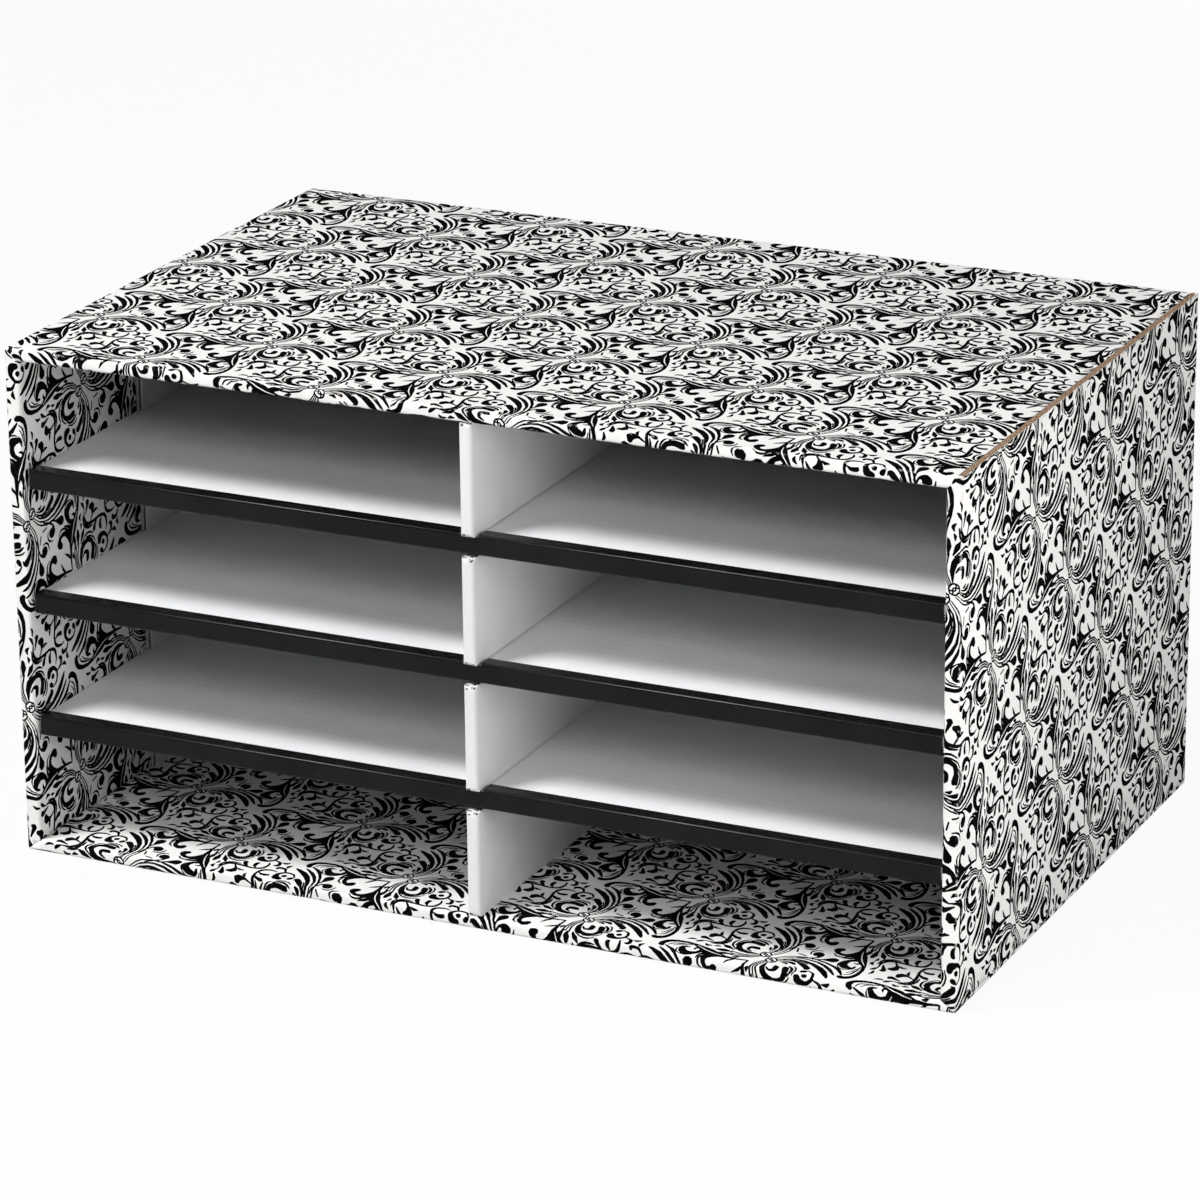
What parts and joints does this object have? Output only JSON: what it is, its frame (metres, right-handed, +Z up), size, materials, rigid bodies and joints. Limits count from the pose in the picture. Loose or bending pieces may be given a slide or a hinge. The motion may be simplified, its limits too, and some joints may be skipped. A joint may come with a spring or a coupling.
{
  "type": "literature organizer",
  "caption": "Free-standing paper sorter in printed corrugated board: an open-fronted case with a centre divider and slide-in shelves edged in black plastic, for letter-size sheets.",
  "frame": {"origin": "middle of the footprint, on the surface the sorter stands on", "axes": "+X to the right across the open front, +Y from the front to the back, +Z up"},
  "size_m": [0.4952, 0.3144, 0.2604],
  "materials": {
    "printed_board": "white-lined corrugated board with a black scrollwork print, matt",
    "white_board": "white-lined corrugated board, matt",
    "black_moulding": "black moulded channel, satin"
  },
  "bodies": {
    "case": {"case_top": "printed_board", "case_bottom": "printed_board", "case_left": "printed_board", "case_right": "printed_board", "case_back": "printed_board", "centre_divider": "white_board", "back_dust_flap_left": "printed_board", "ceiling_tab_left": "printed_board", "floor_tab_left": "printed_board", "side_liner_left": "white_board", "back_dust_flap_right": "printed_board", "ceiling_tab_right": "printed_board", "floor_tab_right": "printed_board", "side_liner_right": "white_board"},
    "shelf_bottom": {"shelf_board_bottom": "white_board", "shelf_trim_bottom": "black_moulding"},
    "shelf_middle": {"shelf_board_middle": "white_board", "shelf_trim_middle": "black_moulding"},
    "shelf_top": {"shelf_board_top": "white_board", "shelf_trim_top": "black_moulding"}
  },
  "joints": [
    {"name": "shelf_bottom_slide", "type": "slide", "parent": "case", "child": "shelf_bottom", "axis": [0, -1, 0], "range_m": [0, 0.16]},
    {"name": "shelf_middle_slide", "type": "slide", "parent": "case", "child": "shelf_middle", "axis": [0, -1, 0], "range_m": [0, 0.16]},
    {"name": "shelf_top_slide", "type": "slide", "parent": "case", "child": "shelf_top", "axis": [0, -1, 0], "range_m": [0, 0.16]}
  ]
}
